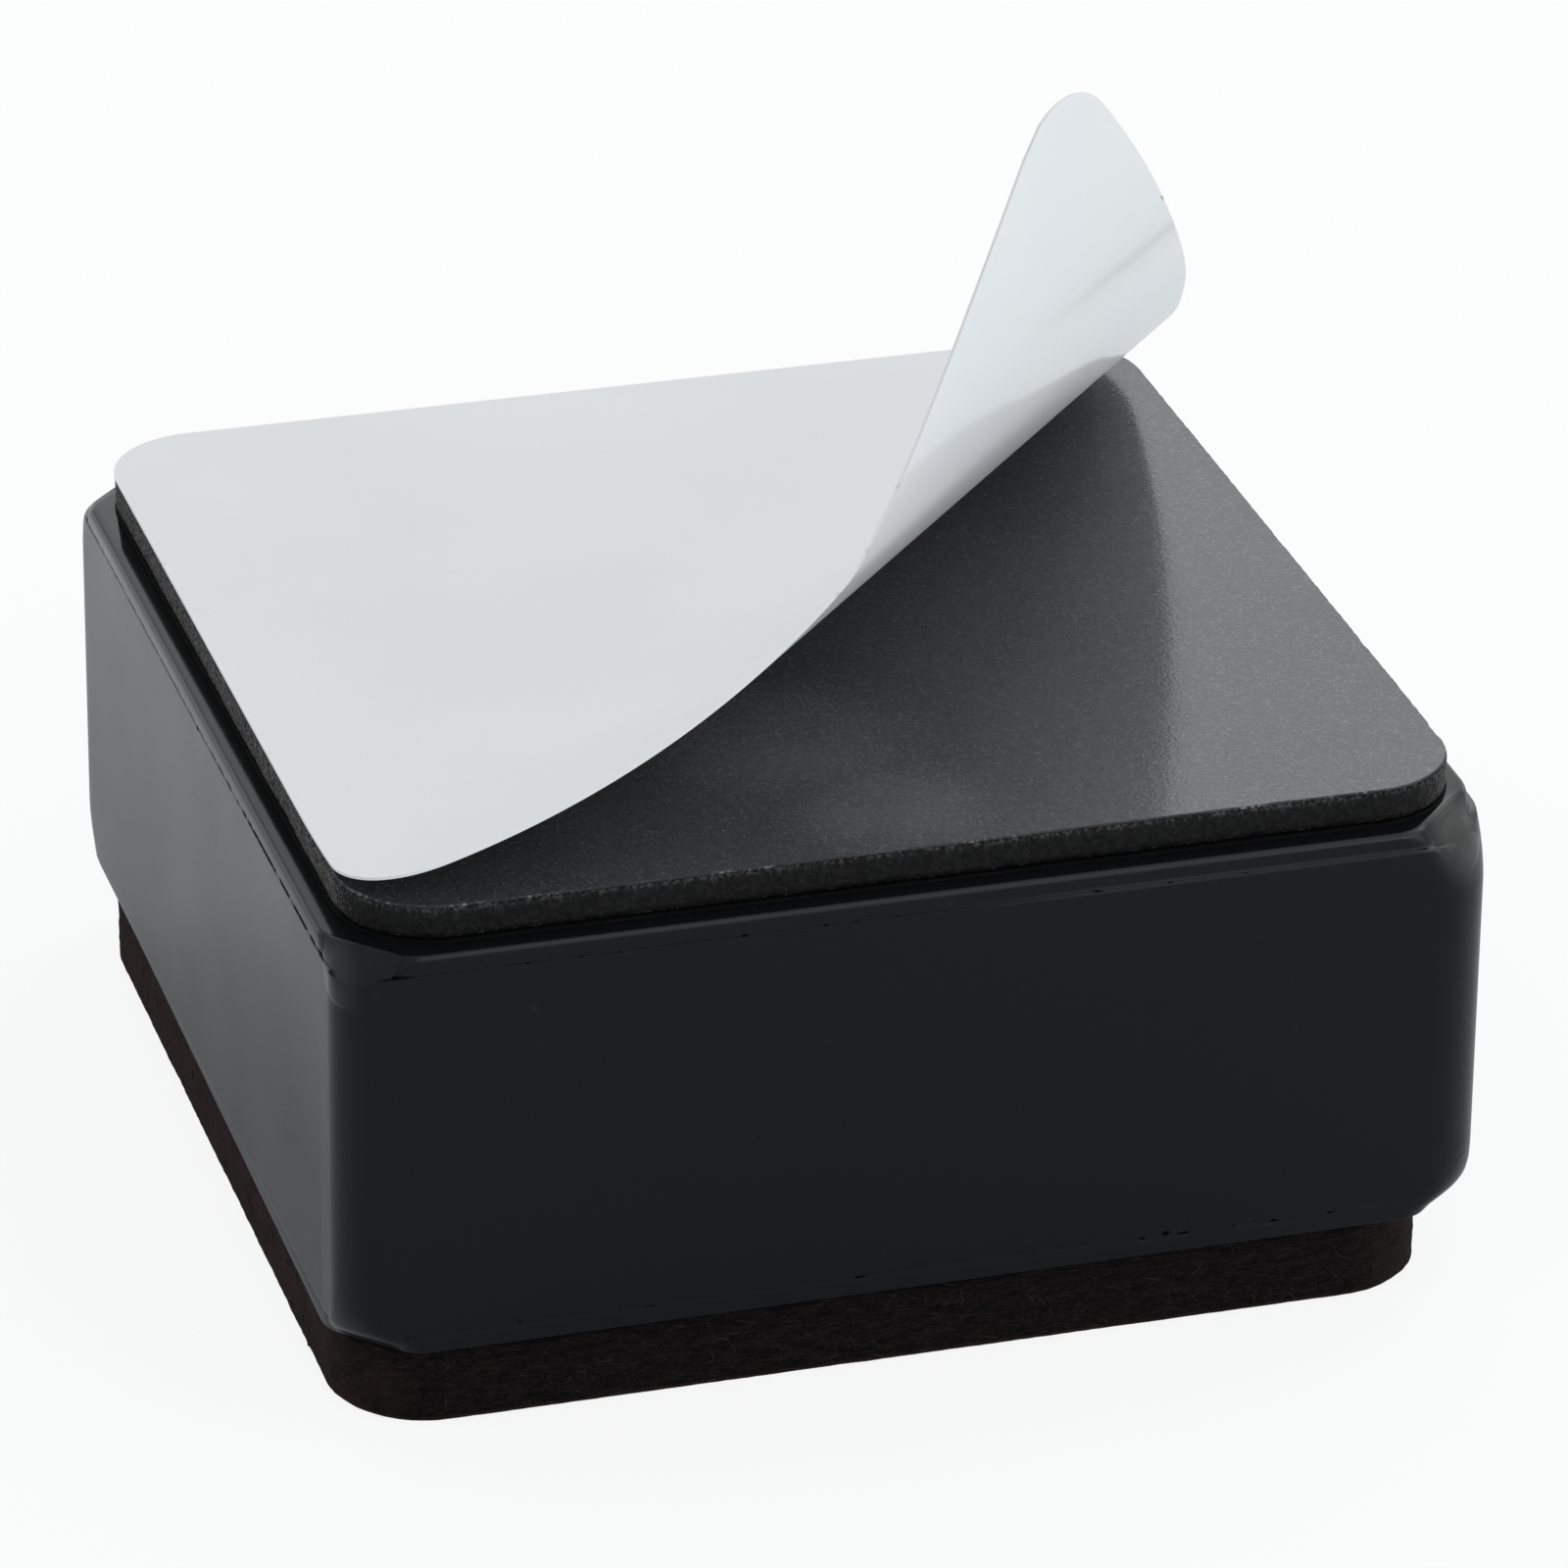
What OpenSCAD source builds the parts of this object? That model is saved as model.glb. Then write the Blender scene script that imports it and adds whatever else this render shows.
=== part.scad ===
// Adhesive furniture riser: a welded square steel block with a foam adhesive pad on top,
// half covered by its curled release liner, and a felt pad underneath.
// The origin is the centre of the block's footprint on the floor, +Z is up and -Y is the front.

/* [Steel block] */
// Side of the square tube, outside
body_w = 60; // [48:1:90]
// Length of the tube between its end plates
tube_len = 20; // [12:1:80]
// Wall thickness of the tube
wall_t = 2; // [1.5:0.1:3]
// Outside radius of the tube's upright corners
tube_corner_r = 3.5; // [3:0.1:5]
// Thickness of each end plate
plate_t = 1; // [0.8:0.1:2]
// Edge broken off the plates and the tube's ends, along the seams
edge_break = 0.25; // [0.1:0.05:0.35]

/* [Corner welds] */
// Corner ground off the outer face of each plate, measured along its edge
corner_clip = 4.5; // [4:0.1:6]
// Height of the ground facet at the upright corner
facet_h = 3.2; // [3:0.1:5]
// Diameter of a weld bead on its facet
weld_d = 3.2; // [2:0.1:3.3]
// Height of a weld bead above its facet
weld_h = 0.5; // [0.2:0.05:0.9]
// Strip of the facet left between the bead and the plate's outer face
weld_rim = 0.1; // [0.05:0.05:0.3]

/* [Inner ribs] */
// Thickness of each rib
rib_t = 2; // [1:0.1:4]
// Clearance of the ribs in the tube and in each other's slot
rib_clear = 0.1; // [0.05:0.05:0.3]

/* [Foam pad] */
// Distance of the foam pad's edge from the block's edge
pad_inset = 1.25; // [0.5:0.05:4]
// Radius of the foam pad's corners
pad_corner_r = 5; // [3:0.1:10]
// Thickness of the foam core
foam_t = 1.75; // [1:0.05:4]
// Thickness of each adhesive layer on the foam
adhesive_t = 0.1; // [0.05:0.05:0.3]

/* [Felt pad] */
// Distance of the felt pad's edge from the block's edge, when it is centred
felt_inset = 1.25; // [1.05:0.05:4]
// How far the felt is glued to the right of the block's centre
felt_offset = -0.6; // [-1:0.1:1]
// Radius of the felt pad's corners
felt_corner_r = 5.2; // [3:0.1:10]
// Thickness of the felt
felt_t = 4.6; // [2:0.1:8]
// Thickness of the adhesive layer above the felt
felt_bond_t = 0.2; // [0.1:0.05:0.5]

/* [Release liner] */
// Thickness of the paper
liner_t = 0.15; // [0.1:0.01:0.25]
// Distance of the peel line behind the pad's centre
peel_offset = 7.5; // [0:0.1:12]
// Angle of the peel line from the front edge
peel_angle = 44; // [40:0.5:50]
// Gap in the paper along the peel line
peel_gap = 0.1; // [0.05:0.01:0.2]
// Radius to which the peeled half curls up to its crease
curl_radius = 25; // [20:0.5:60]
// Distance of the flap's soft crease from the peel line
crease_offset = 28; // [22:0.5:34]
// Length over which the crease bends
crease_len = 5; // [3:0.5:8]
// Turn of the flap in its crease
crease_angle = 7.5; // [0:0.5:15]
// Radius to which the flap curls beyond its crease
tip_radius = 42; // [25:1:80]
// Turn of the curl's straight lines between the peel line and the start of the tip
fan_angle = 8; // [0:0.5:10]
// Turn back of those lines over the tip
tip_angle = 44; // [20:0.5:46]
// Length of the tip in which they turn back
tip_len = 21; // [20:0.5:26]
// Length left off where the tip's lines run out
tip_trim = 0.12; // [0.05:0.01:0.3]
// Number of flat strips that make up the curl
curl_strips = 60; // [24:1:90]

/* [Hidden] */
$fn = 64;
weld_sides = 240;
least_bore_r = 0.5;
halvings = 30;

// Heights, from the floor up
felt_bond_z = felt_t;
bottom_plate_z = felt_bond_z + felt_bond_t;
tube_z = bottom_plate_z + plate_t;
top_plate_z = tube_z + tube_len;
foam_bond_z = top_plate_z + plate_t;
foam_z = foam_bond_z + adhesive_t;
top_adhesive_z = foam_z + foam_t;
liner_z = top_adhesive_z + adhesive_t;

// Steel block
body_mid_z = tube_z + tube_len / 2;
body_half_h = tube_len / 2 + plate_t;
bore_w = body_w - 2 * wall_t;
bore_corner_r = max(tube_corner_r - wall_t, least_bore_r);

// Ground facet at each corner of the block, in the upright plane through the corner
plate_reach = (body_w - corner_clip) / sqrt(2);
corner_reach = (body_w / 2 - tube_corner_r) * sqrt(2) + tube_corner_r;
facet_lean = atan2(corner_reach - plate_reach, facet_h);
facet_block = 2 * (corner_clip + facet_h);
weld_sphere_r = (pow(weld_d / 2, 2) + weld_h * weld_h) / (2 * weld_h);

// Corners by their turn about the upright axis, and the block's two ends
back_right = 45;
back_left = 135;
front_left = 225;
front_right = 315;
top_end = 0;
bottom_end = 1;

// Pads and liner
pad_w = body_w - 2 * pad_inset;
felt_w = body_w - 2 * felt_inset;
pad_corner = pad_w / 2 - pad_corner_r;
flap_reach = pad_corner * (sin(peel_angle) + cos(peel_angle)) + pad_corner_r + peel_offset;
tip_start = flap_reach - tip_len;

// Straight lines of the curl: each is named by its distance w from the peel line, on the flat liner
function line_angle(w) = peel_angle + (w < tip_start
    ? fan_angle * w / tip_start
    : fan_angle - tip_angle * (w - tip_start) / tip_len);
function along(angle) = [cos(angle), sin(angle)];
function across(angle) = [sin(angle), -cos(angle)];
function line_point(w) = (w - peel_offset) * across(peel_angle);

// Stretch of a line that lies on a rectangle or a disc, as its two distances from the line's point
function span_on_box(p, d, half_x, half_y) =
    let (x = [(-half_x - p.x) / d.x, (half_x - p.x) / d.x])
    let (y = [(-half_y - p.y) / d.y, (half_y - p.y) / d.y])
    [max(min(x), min(y)), min(max(x), max(y))];
function span_on_disc(p, d, centre, r) =
    let (m = p - centre)
    let (b = m * d)
    let (k = b * b - m * m + r * r)
    k > 0 ? [-b - sqrt(k), -b + sqrt(k)] : [1, 0];

// Stretch of a line that lies on the liner, a square with round corners
function span_on_liner(p, d) =
    let (spans = [
        span_on_box(p, d, pad_w / 2, pad_corner),
        span_on_box(p, d, pad_corner, pad_w / 2),
        for (i = [-1, 1], j = [-1, 1]) span_on_disc(p, d, [i, j] * pad_corner, pad_corner_r)
    ])
    let (hits = [for (s = spans) if (s[0] < s[1]) s])
    [min([for (s = hits) s[0]]), max([for (s = hits) s[1]])];

// Last line that still touches the front right corner, found by halving
function overlap_at_tip(w) =
    ([pad_corner, -pad_corner] - line_point(w)) * across(line_angle(w)) + pad_corner_r;
function last_line(low, high, rounds) =
    let (middle = (low + high) / 2)
    rounds == 0 ? low
    : overlap_at_tip(middle) > 0 ? last_line(middle, high, rounds - 1)
    : last_line(low, middle, rounds - 1);
flap_end = last_line(tip_start, flap_reach + tip_len, halvings) - tip_trim;

// Each strip turns up from the one before it, about the line between them
strip_w = flap_end / (curl_strips - 0.5);
function crease_bend(w) = abs(w - crease_offset) < crease_len / 2
    ? crease_angle / crease_len * (1 + cos(360 * (w - crease_offset) / crease_len))
    : 0;
function bend_per_mm(w) = 180 / PI / (w < crease_offset ? curl_radius : tip_radius) + crease_bend(w);
unit_3 = [[1, 0, 0], [0, 1, 0], [0, 0, 1]];
unit_4 = [[1, 0, 0, 0], [0, 1, 0, 0], [0, 0, 1, 0], [0, 0, 0, 1]];
function turn_about(d, turn) =
    let (k = [[0, 0, d.y], [0, 0, -d.x], [-d.y, d.x, 0]])
    unit_3 + sin(turn) * k + (1 - cos(turn)) * k * k;
function fold_at(w, turn) =
    let (r = turn_about(along(line_angle(w)), turn))
    let (p = [line_point(w).x, line_point(w).y, 0])
    let (shift = p - r * p)
    [concat(r[0], shift.x), concat(r[1], shift.y), concat(r[2], shift.z), [0, 0, 0, 1]];
function strip_end(i) = (i + 0.5) * strip_w;
function fold_after(i) = fold_at(strip_end(i), -strip_w * bend_per_mm(strip_end(i)));
strip_moves = [for (i = 0, move = unit_4; i <= curl_strips; move = move * fold_after(i), i = i + 1) move];
function moved(move, p) =
    let (q = move * [p.x, p.y, 0, 1])
    [q.x, q.y, q.z + liner_z];
function strip_normal(move) = [move[0][2], move[1][2], move[2][2]];
function unit(v) = v / norm(v);

// Four corners of the paper on one line: left and right below, then left and right above
function paper_corners(w, move, normal) =
    let (p = line_point(w))
    let (d = along(line_angle(w)))
    let (s = span_on_liner(p, d))
    let (below = [moved(move, p + s[0] * d), moved(move, p + s[1] * d)])
    [below[0], below[1], below[0] + normal * liner_t, below[1] + normal * liner_t];
flap_rows = [
    paper_corners(peel_gap, unit_4, [0, 0, 1]),
    for (i = [0:curl_strips - 1])
        paper_corners(
            strip_end(i),
            strip_moves[i],
            unit(strip_normal(strip_moves[i]) + strip_normal(strip_moves[min(i + 1, curl_strips - 1)]))
        )
];

// Splits a four-sided face into triangles
function two_triangles(a, b, c, d) = [[a, b, c], [a, c, d]];

// Square with round corners, about the origin
module round_square(w, r) {
    square([w, w - 2 * r], center = true);
    square([w - 2 * r, w], center = true);
    for (i = [-1, 1], j = [-1, 1])
        translate([i, j] * (w / 2 - r)) circle(r);
}

// Places its children on a corner's facet: X points out of the facet and Z up along it
module on_facet(corner, end) {
    translate([0, 0, body_mid_z])
        mirror([0, 0, end])
            rotate(corner)
                translate([plate_reach, 0, body_half_h])
                    rotate([0, -facet_lean, 0])
                        children();
}

// Space outside a facet's plane
module outside_facet() {
    translate([0, -facet_block / 2, -facet_block / 2]) cube(facet_block);
}

// What grinding takes off the block's corners
module ground_corners() {
    for (corner = [back_right, back_left, front_left, front_right], end = [top_end, bottom_end])
        on_facet(corner, end) outside_facet();
}

// What is broken off the four straight edges at a height
module broken_edges(z) {
    side = edge_break * sqrt(2);
    for (turn = [0:90:270])
        rotate(turn)
            translate([body_w / 2, 0, z])
                rotate([0, 45, 0])
                    cube([side, 2 * body_w, side], center = true);
}

// End plate that stands on a height, with its corners ground and its edges broken
module end_plate(z) {
    difference() {
        translate([-body_w / 2, -body_w / 2, z]) cube([body_w, body_w, plate_t]);
        ground_corners();
        broken_edges(z);
        broken_edges(z + plate_t);
    }
}

// Rib with a slot to half its height, along X
module slotted_rib(slot_from_top) {
    slot_z = slot_from_top ? tube_len / 2 - rib_clear : -rib_clear;
    rib_len = bore_w - 2 * rib_clear;
    slot_w = rib_t + 2 * rib_clear;
    translate([0, 0, tube_z])
        difference() {
            translate([-rib_len / 2, -rib_t / 2, 0]) cube([rib_len, rib_t, tube_len]);
            translate([-slot_w / 2, -rib_t, slot_z]) cube([slot_w, 2 * rib_t, tube_len / 2 + 2 * rib_clear]);
        }
}

// Peeled half of the liner, which curls up from the peel line
module liner_flap() {
    rows = len(flap_rows);
    faces = [
        for (i = [0:rows - 2])
            let (a = 4 * i)
            let (b = a + 4)
            each concat(
                two_triangles(a + 2, a + 3, b + 3, b + 2),
                two_triangles(a, b, b + 1, a + 1),
                two_triangles(a, a + 2, b + 2, b),
                two_triangles(a + 1, b + 1, b + 3, a + 3)
            ),
        each two_triangles(1, 3, 2, 0),
        let (a = 4 * (rows - 1))
            each two_triangles(a, a + 2, a + 3, a + 1)
    ];
    color("whitesmoke") polyhedron([for (row = flap_rows) each row], faces);
}

// Half of the liner that still lies on the adhesive
module liner_sheet() {
    color("white")
        translate([0, 0, liner_z])
            linear_extrude(liner_t)
                difference() {
                    round_square(pad_w, pad_corner_r);
                    translate(line_point(0))
                        rotate(peel_angle)
                            translate([-body_w, -2 * body_w]) square(2 * body_w);
                }
}

// Sticky upper face of the foam
module top_adhesive() {
    color([0.2, 0.2, 0.21])
        translate([0, 0, top_adhesive_z]) linear_extrude(adhesive_t) round_square(pad_w, pad_corner_r);
}

// Foam core of the adhesive pad
module foam_pad() {
    color([0.09, 0.09, 0.09])
        translate([0, 0, foam_z]) linear_extrude(foam_t) round_square(pad_w, pad_corner_r);
}

// Adhesive between the foam and the top plate
module foam_bond() {
    color([0.15, 0.15, 0.16])
        translate([0, 0, foam_bond_z]) linear_extrude(adhesive_t) round_square(pad_w, pad_corner_r);
}

// Plate that closes the top and carries the load
module top_plate() {
    color([0.13, 0.13, 0.14]) end_plate(top_plate_z);
}

// Length of square tube that makes the sides
module tube_wall() {
    color([0.11, 0.11, 0.12])
        difference() {
            translate([0, 0, tube_z]) linear_extrude(tube_len) round_square(body_w, tube_corner_r);
            translate([0, 0, tube_z - plate_t])
                linear_extrude(tube_len + 2 * plate_t) round_square(bore_w, bore_corner_r);
            ground_corners();
            broken_edges(tube_z);
            broken_edges(tube_z + tube_len);
        }
}

// Plate that closes the underside
module bottom_plate() {
    color([0.13, 0.13, 0.14]) end_plate(bottom_plate_z);
}

// Rib from side to side, slotted from above
module rib_across() {
    color([0.45, 0.45, 0.47]) slotted_rib(true);
}

// Rib from front to back, slotted from below
module rib_along() {
    color([0.5, 0.5, 0.52]) rotate(90) slotted_rib(false);
}

// Crowned weld bead over the seam on one ground corner
module corner_weld(corner, end) {
    color([0.16, 0.16, 0.17])
        on_facet(corner, end)
            intersection() {
                translate([weld_h - weld_sphere_r, 0, -weld_d / 2 - weld_rim])
                    sphere(weld_sphere_r, $fn = weld_sides);
                outside_facet();
            }
}

// Adhesive between the felt and the bottom plate
module felt_bond() {
    color([0.08, 0.07, 0.07])
        translate([felt_offset, 0, felt_bond_z])
            linear_extrude(felt_bond_t) round_square(felt_w, felt_corner_r);
}

// Felt that stands on the floor
module felt_pad() {
    color([0.14, 0.1, 0.1])
        translate([felt_offset, 0, 0]) linear_extrude(felt_t) round_square(felt_w, felt_corner_r);
}

liner_flap();
liner_sheet();
top_adhesive();
foam_pad();
foam_bond();
top_plate();
tube_wall();
bottom_plate();
rib_across();
rib_along();
corner_weld(front_left, top_end);  // top_weld_front_left
corner_weld(front_right, top_end);  // top_weld_front_right
corner_weld(back_right, top_end);  // top_weld_back_right
corner_weld(back_left, top_end);  // top_weld_back_left
corner_weld(front_left, bottom_end);  // bottom_weld_front_left
corner_weld(front_right, bottom_end);  // bottom_weld_front_right
corner_weld(back_right, bottom_end);  // bottom_weld_back_right
corner_weld(back_left, bottom_end);  // bottom_weld_back_left
felt_bond();
felt_pad();
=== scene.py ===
"""Dresses the adhesive furniture riser: painted steel, foam, adhesive, felt and a half-peeled liner."""

import math
import random
from collections import namedtuple

import bpy
from bpy.props import FloatProperty, FloatVectorProperty, IntProperty, PointerProperty
from mathutils import Matrix, Vector, noise


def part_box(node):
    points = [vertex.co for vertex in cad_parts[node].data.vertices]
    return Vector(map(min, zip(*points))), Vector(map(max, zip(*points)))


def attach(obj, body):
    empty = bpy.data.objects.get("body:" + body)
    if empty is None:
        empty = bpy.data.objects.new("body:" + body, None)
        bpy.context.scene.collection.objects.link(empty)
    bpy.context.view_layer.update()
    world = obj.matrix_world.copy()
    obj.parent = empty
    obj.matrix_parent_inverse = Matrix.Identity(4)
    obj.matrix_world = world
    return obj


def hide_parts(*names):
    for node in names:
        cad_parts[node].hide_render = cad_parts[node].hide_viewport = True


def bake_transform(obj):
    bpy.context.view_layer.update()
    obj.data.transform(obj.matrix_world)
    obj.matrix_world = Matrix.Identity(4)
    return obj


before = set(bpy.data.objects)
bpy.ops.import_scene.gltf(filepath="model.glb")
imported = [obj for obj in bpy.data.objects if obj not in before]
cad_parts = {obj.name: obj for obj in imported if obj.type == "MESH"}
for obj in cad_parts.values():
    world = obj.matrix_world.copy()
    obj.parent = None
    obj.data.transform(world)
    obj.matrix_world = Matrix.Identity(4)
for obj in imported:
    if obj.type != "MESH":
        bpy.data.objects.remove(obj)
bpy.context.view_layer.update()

bl_info = {
    "name": "Adhesive furniture riser",
    "version": (1, 0, 0),
    "blender": (4, 5, 0),
    "location": "View3D > Sidebar > Riser",
    "description": "Dresses a welded steel riser with paint, foam, felt and a half-peeled liner",
    "category": "Object",
}

MM = 0.001
SAME_PLACE = 1e-6
COOL_TINT = (0.93, 0.97, 1.0, 1.0)
ENDS = {"top": 1, "bottom": -1}
CORNERS = {"front_left": 225, "front_right": 315, "back_right": 45, "back_left": 135}
# Height of a bead, its two ends as depths below the plate's outer face, its half width at the plate,
# how far its tip leans aside, the radius to which it fills the corner, and the metal that the grinder left
# on the plate's and the tube's corner
Weld = namedtuple("Weld", "bead_h start end half_w lean fill_r plate_left tube_left")
GROUND_WELD = Weld(0.16 * MM, 0.2 * MM, 3.1 * MM, 2.9 * MM, 0, 3.5 * MM, 0, 0)
OTHER_WELDS = {
    "top_front_left": Weld(0.22 * MM, -0.5 * MM, 2.7 * MM, 2.9 * MM, -0.5 * MM, 1.3 * MM, 0.5 * MM, 1.4 * MM),
    "top_back_left": Weld(0.12 * MM, 0.1 * MM, 3.0 * MM, 3.6 * MM, 0, 3.5 * MM, 0, 0.5 * MM),
    "bottom_front_left": Weld(0.1 * MM, -0.3 * MM, 3.0 * MM, 2.9 * MM, 0, 2.3 * MM, 0.5 * MM, 1.0 * MM),
    "bottom_front_right": Weld(0.1 * MM, 0.1 * MM, 3.0 * MM, 3.0 * MM, 0, 3.5 * MM, 0.36 * MM, 0.75 * MM),
}
# Plates and felt are not quite square to the tube: how far a corner lies off to the right
CORNER_SHIFTS = {
    "top": {"front_right": -0.4 * MM, "back_right": -0.4 * MM},
    "bottom": {"back_left": 0.5 * MM},
    "felt": {"back_left": 0.2 * MM},
}
# Place and reach of the two spots that make up the painted reflection on the adhesive, a lighter hazy band
PAINTED_REFLECTION_SPOTS = ((-3.6 * MM, -16.0 * MM, 9.5 * MM), (-0.4 * MM, -24.0 * MM, 7.0 * MM))


def length_property(name, description, millimetres):
    return FloatProperty(name=name, description=description, default=millimetres * MM, unit="LENGTH")


def angle_property(name, description, degrees):
    return FloatProperty(name=name, description=description, default=math.radians(degrees), unit="ROTATION")


def colour_property(name, description, default):
    return FloatVectorProperty(name=name, description=description, default=default, subtype="COLOR", min=0, max=1)


class RiserSizes(bpy.types.PropertyGroup):
    """Sizes that the solids of the frame do not give by their boxes."""

    tube_corner_r: length_property("Tube corner", "Outside radius of the tube's upright corners", 3.5)
    sharp_corner_r: length_property(
        "Sharp corner", "Outside radius of the tube's front left corner, the sharpest one", 2.3,
    )
    wall_t: length_property("Tube wall", "Wall thickness of the tube", 2)
    corner_clip: length_property("Corner clip", "Corner ground off a plate's outer face, along its edge", 4.5)
    facet_h: length_property("Facet height", "Height of the ground facet at the upright corner", 3.2)
    facet_blend: length_property("Facet blend", "Width over which paint rounds a facet's border", 0.9)
    plate_lip: length_property("Plate edge", "Radius of the painted outer edge of a plate", 0.32)
    seam_lip: length_property("Seam edge", "Radius of the painted edges along a seam", 0.04)
    pad_corner_r: length_property("Pad corner", "Radius of the foam pad's corners", 5)
    foam_cell: length_property("Foam cell", "Width of an open cell on the foam's cut sides", 0.22)
    felt_corner_r: length_property("Felt corner", "Radius of the felt pad's corners", 5.2)
    fibre_count: IntProperty(
        name="Felt fibres", description="Loose fibres on the felt's sides", default=900, min=0,
    )
    fibre_r: length_property("Fibre radius", "Radius of a loose felt fibre", 0.026)
    peel_offset: length_property("Peel offset", "Distance of the peel line behind the pad's centre", 7.5)
    peel_angle: angle_property("Peel angle", "Angle of the peel line from the front edge", 44)
    curl_radius: length_property("Curl radius", "Radius to which the peeled half curls up to its crease", 25)
    crease_offset: length_property("Crease offset", "Distance of the flap's soft crease from the peel line", 28)
    crease_len: length_property("Crease length", "Length over which the crease bends", 5)
    crease_angle: angle_property("Crease angle", "Turn of the flap in its crease", 7.5)
    # The crease's dark mark is painted shade: the paper's colour darkened along the flap's crease
    crease_shade_offset: length_property(
        "Mark offset", "Distance of the crease's dark mark from the peel line, at the pad's middle", 33.7,
    )
    crease_shade_angle: angle_property("Mark angle", "Angle of that mark from the front edge, on the flat sheet", 49.5)
    tip_radius: length_property("Tip radius", "Radius to which the flap curls beyond its crease", 42)
    fan_angle: angle_property("Fan angle", "Turn of the curl's straight lines up to the tip", 8)
    tip_angle: angle_property("Tip angle", "Turn back of those lines over the tip", 44)
    tip_len: length_property("Tip length", "Length of the tip in which they turn back", 21)
    tip_trim: length_property("Tip trim", "Length left off where the tip's lines run out", 0.12)
    bend_len: length_property("Bend length", "Length over which the liner bends when its flap is turned", 4)


class RiserColours(bpy.types.PropertyGroup):
    """Colours of the riser's finishes."""

    paint: colour_property("Paint", "Black paint on the steel", (0.0054, 0.0057, 0.0065))
    steel: colour_property("Steel", "Bare steel of the ribs", (0.5, 0.5, 0.52))
    foam: colour_property("Foam", "Foam core", (0.011, 0.011, 0.0115))
    adhesive: colour_property("Adhesive", "Sticky face of the foam", (0.0185, 0.0195, 0.021))
    felt: colour_property("Felt", "Pressed felt", (0.0036, 0.0038, 0.0043))
    fibre: colour_property("Fibres", "Loose fibres of the felt", (0.017, 0.016, 0.0165))
    paper: colour_property("Paper", "Release liner", (0.735, 0.757, 0.762))
    floor: colour_property("Floor", "Studio floor", (0.82, 0.86, 0.885))


class Wire:
    """A node's output, with arithmetic that adds Math nodes."""

    def __init__(self, finish, socket):
        self.finish = finish
        self.socket = socket

    def out(self, name):
        """Another output of the same node."""
        return Wire(self.finish, self.socket.node.outputs[name])

    def math(self, operation, *values):
        return self.finish.node("ShaderNodeMath", {"operation": operation}, dict(enumerate(values)))

    def __add__(self, other):
        return self.math("ADD", self, other)

    def __sub__(self, other):
        return self.math("SUBTRACT", self, other)

    def __rsub__(self, other):
        return self.math("SUBTRACT", other, self)

    def __mul__(self, other):
        return self.math("MULTIPLY", self, other)

    def __pow__(self, other):
        return self.math("POWER", self, other)

    def __abs__(self):
        return self.math("ABSOLUTE", self)

    def at_least(self, other):
        return self.math("MAXIMUM", self, other)

    def at_most(self, other):
        return self.math("MINIMUM", self, other)

    __radd__ = __add__
    __rmul__ = __mul__


class Finish:
    """A node tree of a material or world, built node by node."""

    def __init__(self, owner):
        owner.use_nodes = True
        self.owner = owner
        self.tree = owner.node_tree
        self.end = next(node for node in self.tree.nodes if node.type.startswith("OUTPUT"))
        self.main = self.end.inputs["Surface"].links[0].from_node

    def node(self, kind, settings=None, inputs=None, output=0):
        """Adds a node, sets it, joins its inputs and returns one of its outputs."""
        made = self.tree.nodes.new(kind)
        for name, value in (settings or {}).items():
            setattr(made, name, value)
        for key, value in (inputs or {}).items():
            self.feed(made.inputs[key], value)
        return Wire(self, made.outputs[output])

    def feed(self, socket, value):
        if isinstance(value, Wire):
            self.tree.links.new(value.socket, socket)
        else:
            socket.default_value = value

    def shade(self, values):
        """Sets the main shader's sockets."""
        for name, value in values.items():
            self.feed(self.main.inputs[name], value)

    def cover(self, share, shader):
        """Lays another shader over the main one, fully where the share is 1."""
        under = Wire(self, self.main.outputs[0])
        both = self.node("ShaderNodeMixShader", {}, {0: share, 1: under, 2: shader})
        self.feed(self.end.inputs["Surface"], both)

    def cover_matte(self, share, colour):
        self.cover(share, self.node("ShaderNodeBsdfDiffuse", {}, {"Color": colour}))

    def place(self):
        return self.node("ShaderNodeTexCoord", output="Object")

    def stretched(self, where, scale):
        return self.node("ShaderNodeMapping", {}, {"Vector": where, "Scale": scale})

    def axes(self, where):
        split = self.node("ShaderNodeSeparateXYZ", {}, {0: where})
        return split, split.out("Y"), split.out("Z")

    def grain(self, where, size, detail=2.0, distortion=0.0):
        """Soft noise whose features have a size in metres."""
        inputs = {"Vector": where, "Scale": 1 / size, "Detail": detail, "Distortion": distortion}
        return self.node("ShaderNodeTexNoise", {}, inputs, "Fac")

    def cells(self, where, size, output="Distance"):
        return self.node("ShaderNodeTexVoronoi", {}, {"Vector": where, "Scale": 1 / size}, output)

    def ease(self, value, low, high, start=0.0, end=1.0):
        """Smooth change from start to end while the value goes from low to high."""
        inputs = {"Value": value, "From Min": low, "From Max": high, "To Min": start, "To Max": end}
        return self.node("ShaderNodeMapRange", {"interpolation_type": "SMOOTHSTEP"}, inputs)

    def fade(self, value, low, high):
        """Smooth change from 1 to 0 while the value goes from low to high."""
        return self.ease(value, low, high, 1.0, 0.0)

    def patches(self, where, size, low, high, detail=2.0, distortion=0.0):
        """Patches of soft noise: 0 where the noise is below low, 1 where it is above high."""
        return self.ease(self.grain(where, size, detail, distortion), low, high)

    def spots(self, where, size, low, high):
        """Scattered round spots: 1 up to low from a spot's middle and 0 beyond high, as shares of the size."""
        return self.fade(self.cells(where, size), low, high)

    def mix(self, factor, first, second):
        """Mix of two colours."""
        return self.node("ShaderNodeMix", {"data_type": "RGBA"}, {0: factor, 6: first, 7: second}, 2)

    def layered(self, colour, base, layers):
        """Lays lighter or darker tones of a base colour over a colour, each by its share."""
        for share, tone in layers:
            colour = self.mix(share, colour, solid(base, tone))
        return colour

    def bump(self, height, depth, strength=1.0):
        return self.node("ShaderNodeBump", {}, {"Strength": strength, "Distance": depth, "Height": height})


def new_finish(name):
    return Finish(bpy.data.materials.new(name))


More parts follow.
